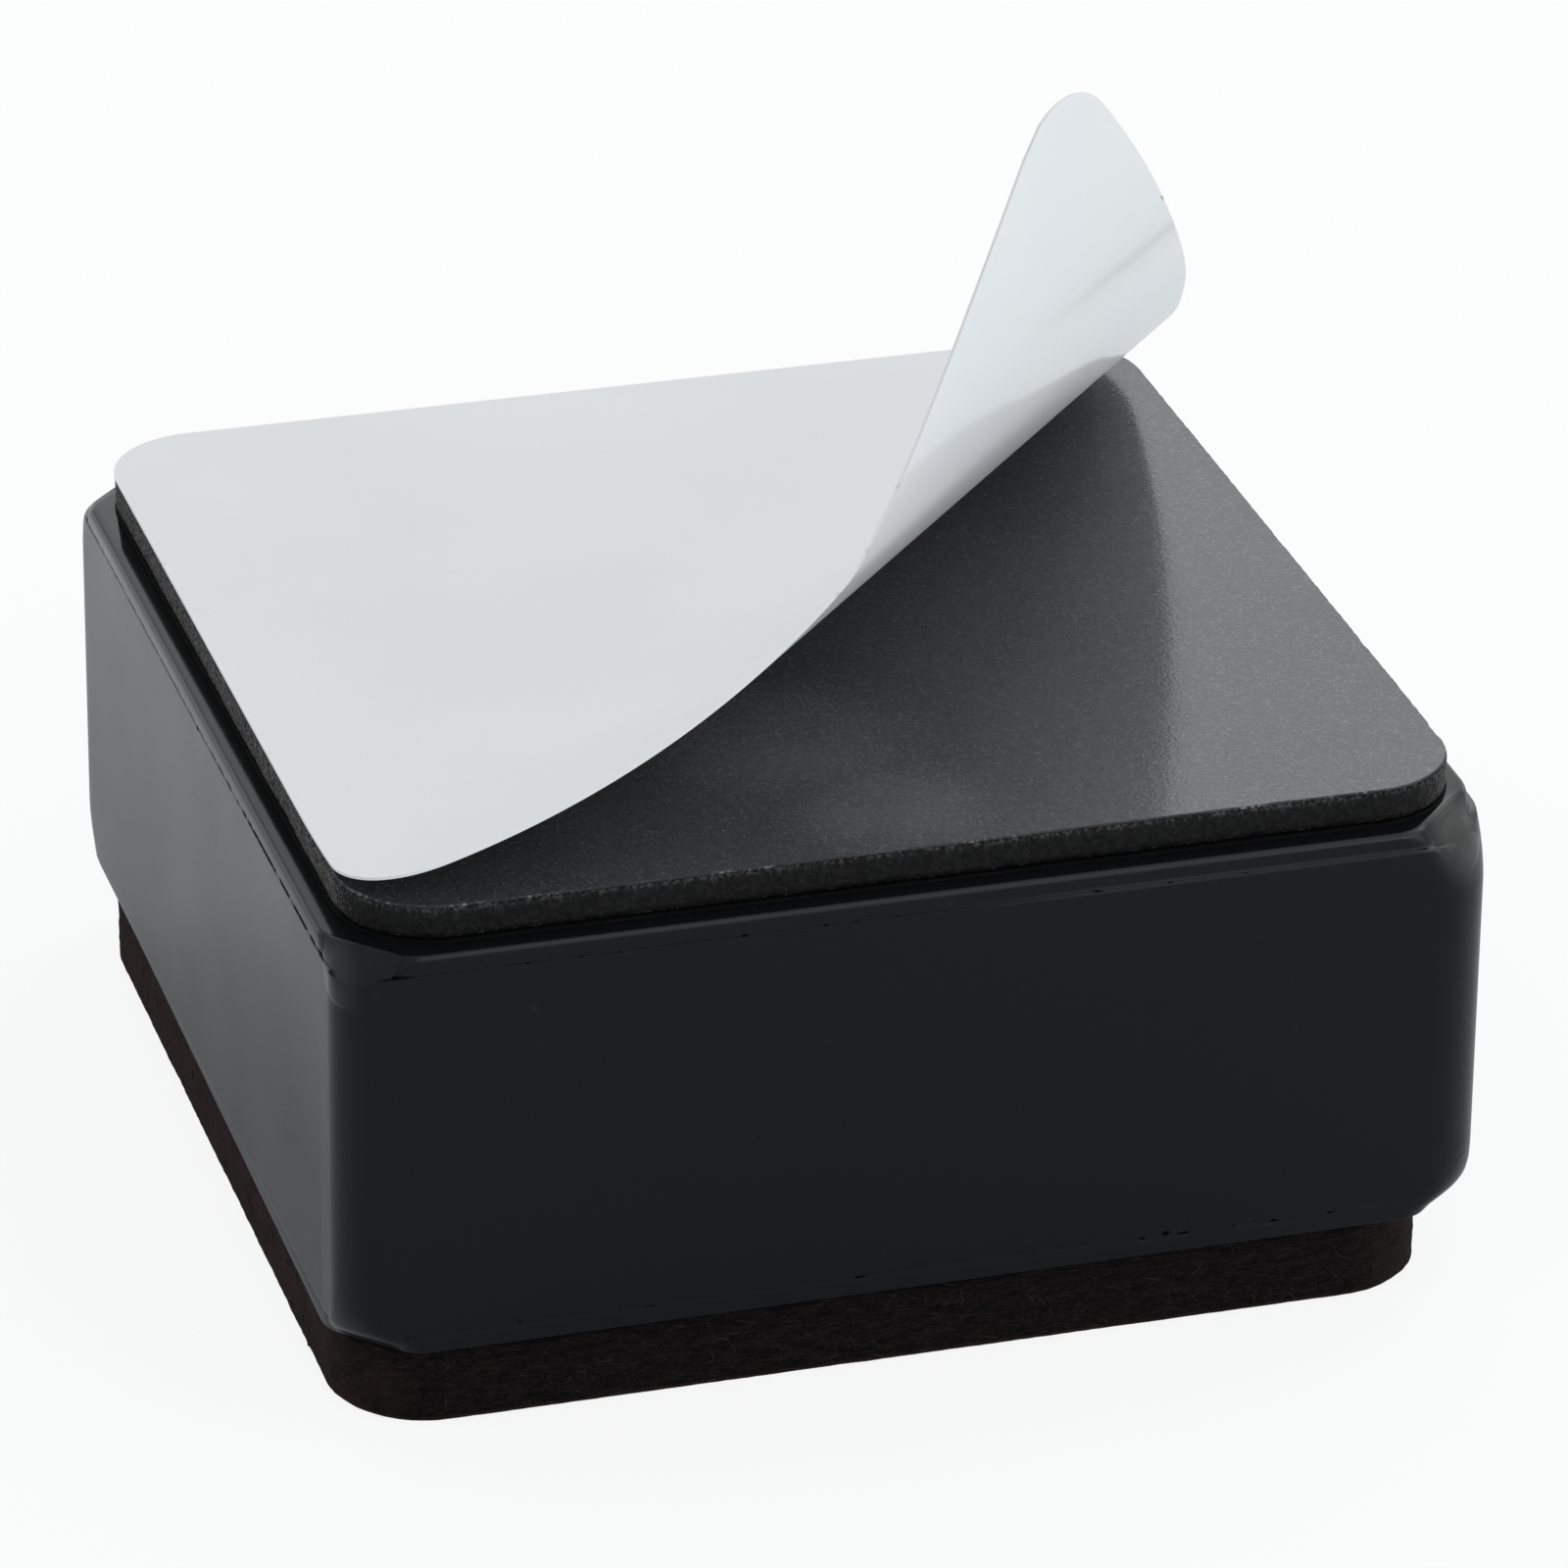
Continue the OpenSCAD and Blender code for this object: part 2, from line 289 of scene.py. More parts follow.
def solid(colour, share=1.0):
    """A colour property as a socket value, made lighter or darker."""
    return (*(min(1.0, c * share) for c in colour), 1.0)


def round_square_gap(finish, where, half_w, corner_r):
    """Distance of a point outside a round-cornered square, less than 0 inside it."""
    x, y, _ = finish.axes(where)
    core = half_w - corner_r
    dx = (abs(x) - core).at_least(0)
    dy = (abs(y) - core).at_least(0)
    return (dx * dx + dy * dy) ** 0.5 - corner_r


def distance(finish, where, point):
    return finish.node("ShaderNodeVectorMath", {"operation": "DISTANCE"}, {0: where, 1: point}, "Value")


def paint_finish(colours, sizes):
    """Satin black paint, glossier where it lies thick and on the left, with dashes and pinholes in the seams."""
    finish = new_finish("satin_black_paint")
    where = finish.place()
    x, y, z = finish.axes(where)
    low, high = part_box("tube_wall")
    off_seam = abs(z - low.z).at_most(abs(z - high.z))
    off_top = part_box("top_plate")[1].z - z
    on_top = finish.fade(off_top, 0.0, 0.04 * MM)
    along = abs(x).at_most(abs(y))
    at_corner = finish.ease(along, high.x - 4.4 * MM, high.x - 3.7 * MM)
    near_corner = finish.ease(along, high.x - 8.5 * MM, high.x - 7 * MM)
    at_left = finish.fade(x, -high.x, 0.3 * MM - high.x)
    round_left = finish.fade(x, -high.x, 1.6 * MM - high.x)
    mid_facet = Vector((0, 0, -1.4 * MM))
    lip = finish.ease(off_top, 0.02 * MM, 0.08 * MM) * finish.fade(off_top, 0.14 * MM, 0.26 * MM)
    lip = lip * (1 - at_corner)
    right_lump, left_lump = (
        finish.fade(distance(finish, where, facet_at(sizes, name, 0) @ mid_facet), 1.0 * MM, 3.2 * MM)
        for name in ("top_front_right", "top_front_left")
    )
    ridge = finish.fade(off_seam, 0.1 * MM, 0.25 * MM) * finish.ease(x, 0.0, 10 * MM)
    ridge = ridge * finish.ease(z, low.z, high.z)
    groove = finish.fade(off_seam, 0.0, 0.3 * MM)
    dashes = finish.patches(where, 1.0 * MM, 0.59, 0.65) * (1 - near_corner.at_least(at_left))
    dots = finish.patches(where, 0.8 * MM, 0.42, 0.46) * at_left * finish.ease(z, low.z, high.z)
    dots = dots * finish.ease(y, -14 * MM, 0.0, 1.0, 0.35)
    weld_toe = distance(finish, where, (2.9 * MM - high.x, -high.x, high.z))
    gap = dashes.at_least(finish.fade(weld_toe, 0.5 * MM, 1.1 * MM) * 0.6)
    gap = gap * finish.fade(off_seam, 0.05 * MM, 0.1 * MM)
    gap = gap.at_least(dots * finish.fade(off_seam, 0.1 * MM, 0.17 * MM))
    pinholes = finish.spots(where, 2.1 * MM, 0.07, 0.12) * (1 - near_corner)
    near_seam = finish.fade(off_seam, 0.15 * MM, 0.25 * MM)
    peel = finish.grain(where, 1.5 * MM, 1)
    swirl = finish.grain(where, 9 * MM, 3)
    dust = finish.spots(where, 2.6 * MM, 0.02, 0.045)
    wall_gloss = finish.ease(y, -25 * MM, 10 * MM) * 0.08 + finish.ease(z, low.z + 4 * MM, high.z) * 0.14
    edge_gloss = (at_corner * 0.14).at_least(left_lump * 0.5)
    left_gloss = (at_left * wall_gloss).at_least(round_left * edge_gloss)
    finish.shade({
        "Base Color": finish.mix(dust * 0.25, solid(colours.paint), solid(colours.paint, 8)),
        "Roughness": 0.2 + swirl * 0.12 - on_top * 0.16,
        "Specular IOR Level": 0.135,
        "Specular Tint": COOL_TINT,
        "Coat Weight": (lip * 0.5).at_least(right_lump * 0.55).at_least(ridge * 0.35).at_least(left_gloss),
        "Coat Roughness": 0.12,
        "Normal": finish.bump(peel * 0.04 + swirl * 0.2 - groove * (0.2 + dashes * 0.8), 0.1 * MM, 0.35),
    })
    finish.cover_matte((gap * 0.9).at_least(near_seam * pinholes), solid(colours.paint, 0.3))


def foam_finish(colours, sizes):
    """Matte black foam with open cells, pale painted glints, painted light in streaks and specks along its top edge,
    and painted shade at its foot.
    """
    finish = new_finish("open_cell_foam")
    where = finish.place()
    pores = finish.cells(where, sizes.foam_cell * 0.7)
    fine = finish.grain(where, 0.12 * MM, 2)
    tone = finish.patches(where, 0.3 * MM, 0.35, 0.7, 3, 0.6)
    # Painted glints: pale spots laid into the foam's colour
    glint = finish.spots(where, 0.42 * MM, 0.08, 0.2)
    colour = finish.mix(tone, solid(colours.foam, 0.55), solid(colours.foam, 1.2))
    low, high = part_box("foam_pad")
    below_top = high.z - finish.axes(where)[2]
    # Painted light: lighter upright streaks in the top band of the cut side, where it catches more light
    top_light_streaks = finish.patches(finish.stretched(where, (1, 1, 0.2)), 0.22 * MM, 0.55, 0.68)
    top_light_streaks = top_light_streaks * finish.fade(below_top, 0.1 * MM, 0.7 * MM)
    # Painted glints: pale specks laid into the colour along the foam's top edge
    painted_rim_glints = finish.patches(where, 0.2 * MM, 0.46, 0.62)
    painted_rim_glints = painted_rim_glints * finish.fade(below_top, 0.05 * MM, 0.35 * MM)
    colour = finish.layered(colour, colours.foam, ((glint * 0.3, 4), (top_light_streaks * 0.6, 4), (painted_rim_glints * 0.7, 7)))
    finish.shade({
        "Base Color": colour,
        "Roughness": 0.85,
        "Specular IOR Level": 0.12,
        "Sheen Weight": 0.5,
        "Sheen Roughness": 0.22,
        "Sheen Tint": (0.8, 0.79, 0.76, 1),
        "Normal": finish.bump(pores * 0.7 + fine * 0.5, 0.12 * MM, 0.8),
    })
    # Painted shade: a darker matte cover at the foam's foot, with a ragged border
    ragged = below_top + finish.grain(where, 0.8 * MM, 2) * 0.5 * MM
    shaded = finish.ease(ragged, high.z - low.z - 0.25 * MM, high.z - low.z + 0.15 * MM)
    finish.cover_matte(shaded * 0.9, solid(colours.foam, 0.4))


def adhesive_finish(colours, sizes):
    """Glossy dark adhesive with painted sparkle, a painted reflection as a lighter hazy band, and painted glints as
    pale specks along its cut edge, matte and darker between them.
    """
    finish = new_finish("adhesive_face")
    where = finish.place()
    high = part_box("top_adhesive")[1]
    edge = finish.ease(round_square_gap(finish, where, high.x, sizes.pad_corner_r), -0.22 * MM, -0.02 * MM)
    # Painted glints: crumbs and runs pick pale specks laid into the colour along the cut edge; between them the edge
    # gets a matte darker cover
    crumbs = finish.patches(where, 0.22 * MM, 0.52, 0.6)
    runs = finish.patches(where, 3.5 * MM, 0.45, 0.6)
    painted_edge_glints = edge * crumbs * runs
    # Painted sparkle: the lighter specks in the colour stand in for tiny glints; the glitter share varies the real
    # coat
    specks = finish.cells(where, 0.13 * MM, output="Color")
    painted_sparkle = finish.ease(finish.axes(specks)[0], 0.6, 1.0)
    glitter = finish.ease(finish.axes(specks)[1], 0.75, 1.0)
    grit = finish.grain(where, 0.18 * MM, 1)
    waves = finish.grain(where, 1.3 * MM, 2)
    clouds = finish.patches(where, 11 * MM, 0.35, 0.7)
    colour = finish.mix(clouds, solid(colours.adhesive, 0.85), solid(colours.adhesive, 1.25))
    # Painted reflection: two soft spots, made patchy, lighten the colour into a hazy band that stands in for a soft
    # reflection
    back_reflection, front_reflection = (
        finish.fade(distance(finish, where, (x, y, high.z)), 1.5 * MM, reach) for x, y, reach in PAINTED_REFLECTION_SPOTS
    )
    patchy = finish.ease(finish.grain(where, 5 * MM, 3), 0.3, 0.6, 0.65, 1.0)
    painted_reflection = back_reflection.at_least(front_reflection) * patchy
    # Painted sparks: bright spots laid into the colour
    sparks = finish.spots(where, 1.1 * MM, 0.05, 0.12)
    tones = ((painted_sparkle * 0.8, 2.7), (painted_reflection * 0.9, 3.1), (painted_reflection * painted_sparkle, 4.6), (sparks * 0.45, 6), (painted_edge_glints, 11))
    colour = finish.layered(colour, colours.adhesive, tones)
    finish.shade({
        "Base Color": colour,
        "Roughness": 0.13 + painted_sparkle * 0.1 + edge * 0.45,
        "Specular IOR Level": 0.36,
        "Specular Tint": COOL_TINT,
        "Coat Weight": (0.12 + glitter * 0.3) * (1 - edge),
        "Coat Roughness": 0.05,
        "Normal": finish.bump(grit + waves * 0.6, 0.03 * MM, 0.32),
    })
    finish.cover_matte(edge * (1 - crumbs * runs) * 0.75, solid(colours.adhesive, 0.6))


def bond_finish(colours):
    """Adhesive film between two pieces, uneven along its cut edge, painted darker than the adhesive as shade in the
    gap where it lies.
    """
    finish = new_finish("adhesive_bond")
    where = finish.place()
    lumps = finish.grain(where, 0.6 * MM, 3)
    # Painted shade: the film's colour is the adhesive's darkened to a tenth to three tenths, as shade in the gap
    # between the pieces
    colour = finish.mix(lumps, solid(colours.adhesive, 0.1), solid(colours.adhesive, 0.3))
    finish.shade({
        "Base Color": colour,
        "Roughness": 0.5 + lumps * 0.3,
        "Specular IOR Level": 0.08,
        "Normal": finish.bump(lumps, 0.1 * MM, 0.5),
    })


def felt_finish(colours):
    """Pressed felt: dark, matted in flat layers, darker at its top partly from glue and partly as painted shade
    under the plate, reddish where light grazes it, with painted reddish sheen in blotches on its left and right
    sides.
    """
    finish = new_finish("pressed_felt")
    where = finish.place()
    x, _, z = finish.axes(where)
    low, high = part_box("felt_pad")
    top = high.z
    mat = finish.grain(finish.stretched(where, (1, 1, 3.5)), 0.9 * MM, 4, 1.2)
    strands = finish.grain(finish.stretched(where, (1, 1, 5)), 0.4 * MM, 3, 2.5)
    fray = finish.grain(where, 1.4 * MM, 3)
    # Darker band at the top: partly glue soaked into the felt, partly painted shade under the plate
    glued_and_shaded = finish.ease(z + fray * 1.2 * MM, top - 0.2 * MM, top + 0.1 * MM)
    colour = finish.mix(finish.ease(mat, 0.3, 0.7), solid(colours.felt, 0.55), solid(colours.felt, 1.5))
    colour = finish.mix(finish.ease(strands, 0.58, 0.72) * 0.6, colour, solid(colours.felt, 3))
    # Painted sheen: reddish blotches in the colour, faint over the whole felt and strong on its left and right
    # sides, where light grazes it
    off_middle = abs(x - (low.x + high.x) / 2)
    side_sheen_share = finish.ease(off_middle, high.x - 5 * MM, high.x - 1 * MM, 0.08, 1.0)
    tufts = finish.patches(where, 2.0 * MM, 0.42, 0.66, 4, 0.9) * side_sheen_share
    colour = finish.mix(tufts * 0.7, colour, (0.015, 0.0102, 0.0098, 1))
    finish.shade({
        "Base Color": colour,
        "Roughness": 0.95,
        "Specular IOR Level": 0.06,
        "Sheen Weight": 0.16,
        "Sheen Roughness": 0.16,
        "Sheen Tint": (0.74, 0.46, 0.42, 1),
        "Normal": finish.bump(mat * 0.6 + strands, 0.16 * MM, 0.8),
    })
    finish.cover_matte(glued_and_shaded * 0.8, solid(colours.adhesive, 0.22))


def fibre_finish(colours):
    """Loose felt fibres, some pale and some reddish."""
    finish = new_finish("felt_fibre")
    where = finish.place()
    pick = finish.grain(where, 1.1 * MM, 1)
    red = (colours.fibre[0] * 0.9, colours.fibre[1] * 0.55, colours.fibre[2] * 0.52, 1)
    finish.shade({
        "Base Color": finish.mix(finish.ease(pick, 0.4, 0.55), red, solid(colours.fibre)),
        "Roughness": 0.6 + pick * 0.2,
        "Specular IOR Level": 0.2,
    })


def paper_finish(name, colours, sizes, roughness, level, coat):
    """Coated paper: faint clouds and fibre flecks, following the flat sheet, dark specks on its edge, and painted
    shade along the flap's crease.
    """
    finish = new_finish(name)
    flat = finish.node("ShaderNodeUVMap")
    centred = finish.node("ShaderNodeVectorMath", {"operation": "SUBTRACT"}, {0: flat, 1: (0.5, 0.5, 0)})
    sheet_w = 2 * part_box("top_adhesive")[1].x
    clouds = finish.grain(flat, 0.3, 3)
    fibres = finish.grain(finish.stretched(flat, (1, 2.2, 1)), 0.012, 3, 0.8)
    flecks = finish.spots(flat, 0.05, 0.02, 0.05)
    edge = finish.ease(round_square_gap(finish, centred, 0.5, sizes.pad_corner_r / sheet_w), -0.0035, -0.0015)
    dirt = edge * finish.spots(flat, 0.035, 0.1, 0.22)
    fold = Curl(sizes, sheet_w / 2).point(sizes.crease_shade_offset) / sheet_w
    along = Vector((math.cos(sizes.crease_shade_angle), math.sin(sizes.crease_shade_angle)))
    aside, onward = (
        finish.node("ShaderNodeVectorMath", {"operation": "DOT_PRODUCT"}, {0: centred, 1: way.to_3d()}, "Value")
        - fold.dot(way)
        for way in (along.orthogonal(), along)
    )
    # Painted shade: the paper's colour darkened in a soft line along the flap's crease; the same line dents the bump
    line = finish.fade(abs(aside), 0.0, 0.013) * 0.6 + finish.fade(abs(aside), 0.0, 0.04) * 0.4
    crease = line * finish.ease(onward, -0.08, 0.2)
    cool = (colours.paper[0] * 0.985, colours.paper[1] * 0.99, colours.paper[2] * 1.02, 1)
    colour = finish.mix(finish.ease(clouds, 0.3, 0.7), cool, solid(colours.paper, 1.02))
    tones = ((fibres * 0.12, 0.9), (flecks * 0.15, 0.8), (crease * 0.85, 0.78), (dirt * 0.8, 0.12))
    colour = finish.layered(colour, colours.paper, tones)
    finish.shade({
        "Base Color": colour,
        "Roughness": roughness + fibres * 0.08,
        "Specular IOR Level": level,
        "Coat Weight": coat,
        "Coat Roughness": 0.12,
        "Normal": finish.bump(clouds * 0.7 + fibres * 0.3 - crease * 2, 0.05 * MM, 0.12),
    })


def steel_finish(colours):
    """Bare rolled steel with rolling streaks and dull patches."""
    finish = new_finish("rolled_steel")
    where = finish.place()
    streaks = finish.grain(finish.stretched(where, (1, 1, 12)), 2 * MM, 3)
    scale = finish.patches(where, 5 * MM, 0.35, 0.7, 3)
    colour = finish.mix(scale, solid(colours.steel, 0.7), solid(colours.steel))
    finish.shade({
        "Base Color": colour,
        "Metallic": 1.0,
        "Roughness": 0.3 + streaks * 0.25,
        "Normal": finish.bump(streaks, 0.05 * MM, 0.3),
    })


def deselect():
    if bpy.context.object and bpy.context.object.mode != "OBJECT":
        bpy.ops.object.mode_set(mode="OBJECT")
    bpy.ops.object.select_all(action="DESELECT")


def make_active(piece):
    deselect()
    piece.select_set(True)
    bpy.context.view_layer.objects.active = piece


def name_added(name):
    """Names the object that was just added, and its data."""
    added = bpy.context.object
    added.name = added.data.name = name
    return added


def add_block(name, low, high):
    """Adds a block between two corners, with its place in its mesh, and opens it for editing."""
    deselect()
    bpy.ops.mesh.primitive_cube_add(size=1, location=(low + high) / 2, scale=high - low)
    piece = name_added(name)
    bpy.ops.object.transform_apply(location=True, rotation=True, scale=True)
    bpy.ops.object.mode_set(mode="EDIT")
    return piece


def pick(piece, kind, test):
    """Selects the edges or faces of the edited mesh whose corners pass a test."""
    bpy.ops.mesh.select_mode(type=kind)
    bpy.ops.mesh.select_all(action="DESELECT")
    bpy.ops.object.mode_set(mode="OBJECT")
    mesh = piece.data
    parts = mesh.edges if kind == "EDGE" else mesh.polygons
    for part in parts:
        part.select = test(*(mesh.vertices[i].co for i in part.vertices))
    bpy.ops.object.mode_set(mode="EDIT")


def is_upright(a, b):
    return (a.xy - b.xy).length < SAME_PLACE < abs(a.z - b.z)


def upright_at(place):
    """Test for the ends of an upright edge over a place."""
    return lambda a, b: (a.xy - place).length + (b.xy - place).length < SAME_PLACE


def level_at(*heights):
    """Test for corners that all lie at one of the heights."""
    return lambda *corners: any(all(abs(co.z - height) < SAME_PLACE for co in corners) for height in heights)


def round_edges(piece, test, radius, segments):
    """Rounds the edges of the edited mesh whose ends pass a test."""
    pick(piece, "EDGE", test)
    bpy.ops.mesh.bevel(offset=radius, segments=segments, affect="EDGES")


def cut_along(point, normal, **settings):
    """Cuts the edited mesh along a plane."""
    bpy.ops.mesh.select_all(action="SELECT")
    bpy.ops.mesh.bisect(plane_co=point, plane_no=normal, **settings)


def add_rings(heights):
    for height in heights:
        cut_along((0, 0, height), (0, 0, 1))


def face_outward():
    bpy.ops.mesh.select_all(action="SELECT")
    bpy.ops.mesh.normals_make_consistent(inside=False)


def smooth(piece, degrees):
    make_active(piece)
    bpy.ops.object.shade_smooth_by_angle(angle=math.radians(degrees))


def apply_modifier(piece, kind, **settings):
    make_active(piece)
    modifier = piece.modifiers.new(kind.title(), kind)
    for name, value in settings.items():
        setattr(modifier, name, value)
    bpy.ops.object.modifier_apply(modifier=modifier.name)


def set_finishes(piece, names):
    piece.data.materials.clear()
    for name in names:
        piece.data.materials.append(bpy.data.materials[name])


def dress(piece, body, finishes, nodes=()):
    """Gives a finished piece its materials and its body, and hides the nodes that it stands for."""
    set_finishes(piece, finishes)
    if body:
        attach(piece, body)
    if nodes:
        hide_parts(*nodes)


def outward(co, half_w, corner_r):
    """Direction out of a round-cornered square at a point of its side."""
    core = half_w - corner_r
    away = Vector((co.x - max(-core, min(core, co.x)), co.y - max(-core, min(core, co.y)), 0))
    return away.normalized()


def side_point(share, half_w, corner_r):
    """Point of a round-cornered square's outline, by its share of the way round, and the direction out."""
    core = half_w - corner_r
    quarter = 2 * core + math.pi / 2 * corner_r
    turns, rest = divmod(share * 4 * quarter, quarter)
    if rest < 2 * core:
        point, out = Vector((half_w, rest - core)), Vector((1, 0))
    else:
        angle = (rest - 2 * core) / corner_r
        out = Vector((math.cos(angle), math.sin(angle)))
        point = Vector((core, core)) + out * corner_r
    turn = Matrix.Rotation(turns * math.pi / 2, 2)
    return turn @ point, turn @ out


def facet_frame(sizes, corner, end):
    """Frame on a corner's ground facet: X points out of it, Z up along it, its origin on the plate's outer face."""
    low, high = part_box("bottom_plate")[0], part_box("top_plate")[1]
    reach = (2 * high.x - sizes.corner_clip) / math.sqrt(2)
    corner_reach = (high.x - sizes.tube_corner_r) * math.sqrt(2) + sizes.tube_corner_r
    lean = math.atan2(corner_reach - reach, sizes.facet_h)
    middle, half_h = (low.z + high.z) / 2, (high.z - low.z) / 2
    return (
        Matrix.Translation((0, 0, middle))
        @ Matrix.Diagonal((1, 1, end, 1))
        @ Matrix.Rotation(math.radians(corner), 4, "Z")
        @ Matrix.Translation((reach, 0, half_h))
        @ Matrix.Rotation(-lean, 4, "Y")
    )


def weld_at(name):
    return OTHER_WELDS.get(name, GROUND_WELD)


def corner_names(end):
    return {f"{end}_{corner}": turn for corner, turn in CORNERS.items()}


def facet_at(sizes, name, left):
    """Facet frame of a corner by its name, moved out by the metal that is left on it."""
    end, corner = name.split("_", 1)
    return facet_frame(sizes, CORNERS[corner], ENDS[end]) @ Matrix.Translation((left, 0, 0))


def soft_excess(gap, blend):
    """How far a point goes back that stands out by a gap, softly about a gap of 0."""
    soft = max(blend - abs(gap), 0) / blend
    return max(gap, 0) + soft * soft * blend / 4


def ground(co, facets, blend):
    """Moves a point that lies outside a facet back onto it."""
    for on_facet in facets:
        out = on_facet.col[0].xyz
        co = co - out * soft_excess((co - on_facet.translation).dot(out), blend)
    return co


def eased(share):
    """Smooth way from 0 to 1."""
    share = max(0.0, min(1.0, share))
    return share * share * (3 - 2 * share)


def tube_radius(sizes, name):
    """Outside radius of the tube at a corner."""
    return sizes.sharp_corner_r if name.endswith("front_left") else sizes.tube_corner_r


def seam_lip(sizes, up):
    """Edge radius along a seam: paint fills the lower seam further."""
    return sizes.seam_lip if up > 0 else sizes.seam_lip * 0.4


def corner_sides(corner):
    """On which sides a corner lies, as the signs of its x and y."""
    turn = math.radians(CORNERS[corner])
    return Vector((math.copysign(1, math.cos(turn)), math.copysign(1, math.sin(turn))))


def corner_shift(layer, place):
    """How far a point of a layer lies off to the right, by its place between the four corners."""
    total = 0.0
    for corner, shift in CORNER_SHIFTS[layer].items():
        side = corner_sides(corner)
        total += shift * ((1 + place.x * side.x) / 2) * ((1 + place.y * side.y) / 2)
    return total


class RISER_OT_painted_plates(bpy.types.Operator):
    """Model the two painted end plates with ground corners and soft edges"""

    bl_idname = "riser.painted_plates"
    bl_label = "Painted plates"

    upright_r = 0.7 * MM

    def execute(self, context):
        sizes = context.scene.riser_sizes
        for end, up in ENDS.items():
            node = f"{end}_plate"
            low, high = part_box(node)
            outer, inner = (high.z, low.z) if up > 0 else (low.z, high.z)
            piece = add_block(f"painted_{node}", low, high)
            for corner in corner_names(end):
                on_facet = facet_at(sizes, corner, weld_at(corner).plate_left)
                cut_along(on_facet.translation, on_facet.col[0].xyz, use_fill=True, clear_outer=True)
            round_edges(piece, lambda a, b: abs(a.z - b.z) > SAME_PLACE, self.upright_r, segments=6)
            round_edges(piece, level_at(outer), sizes.plate_lip if up > 0 else sizes.plate_lip / 6, segments=5)
            round_edges(piece, level_at(inner), seam_lip(sizes, up), segments=3)
            deselect()
            for vertex in piece.data.vertices:
                vertex.co.x += corner_shift(end, vertex.co.xy / high.x)
            smooth(piece, 40)
            dress(piece, "riser", ["satin_black_paint"], [node])
        return {"FINISHED"}


def outer_rim(height, in_wall):
    """Test for corners that all lie at one height, further out than a distance within the tube's wall."""
    return lambda *corners: all(
        abs(co.z - height) < SAME_PLACE and max(abs(co.x), abs(co.y)) > in_wall for co in corners
    )


class RISER_OT_painted_tube(bpy.types.Operator):
    """Model the painted tube with round corners, ground facets and soft seam edges"""

    bl_idname = "riser.painted_tube"
    bl_label = "Painted tube"

    facet_rings = 14

    def execute(self, context):
        sizes = context.scene.riser_sizes
        low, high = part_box("tube_wall")
        piece = add_block("painted_tube", low, high)
        for corner in CORNERS:
            place = corner_sides(corner) * high.x
            round_edges(piece, upright_at(place), tube_radius(sizes, corner), segments=28)
        pick(piece, "FACE", level_at(low.z, high.z))
        bpy.ops.mesh.inset(thickness=sizes.wall_t)
        bpy.ops.mesh.bridge_edge_loops()
        for up, height in ((1, high.z), (-1, low.z)):
            round_edges(piece, outer_rim(height, high.x - sizes.wall_t * 0.75), seam_lip(sizes, up), segments=3)
        steps = [sizes.facet_h * i / self.facet_rings for i in range(1, self.facet_rings + 1)]
        add_rings([low.z + step for step in steps] + [high.z - step for step in steps])
        core = high.x - sizes.tube_corner_r
        for axis in ((1, 0, 0), (0, 1, 0)):
            for inset in (0.5 * MM, 1 * MM, 2 * MM):
                for side in (-1, 1):
                    cut_along(Vector(axis) * side * (core - inset), axis)
        deselect()
        names = [name for end in ENDS for name in corner_names(end)]
        facets = [facet_at(sizes, name, weld_at(name).tube_left) for name in names]
        for vertex in piece.data.vertices:
            vertex.co = ground(vertex.co, facets, sizes.facet_blend)
        smooth(piece, 40)
        dress(piece, "riser", ["satin_black_paint"], ["tube_wall"])
        return {"FINISHED"}


def round_corner(turn, aside, half_w, corner_r):
    """Point of a round-cornered square's outline, by its way along the outline from the middle of one corner."""
    quarter = math.pi / 4
    angle = max(-quarter, min(quarter, aside / corner_r))
    out = Vector((math.cos(turn + angle), math.sin(turn + angle)))
    middle = Vector((math.cos(turn), math.sin(turn))) * (half_w - corner_r) * math.sqrt(2)
    return middle + out * corner_r + out.orthogonal() * (aside - angle * corner_r)


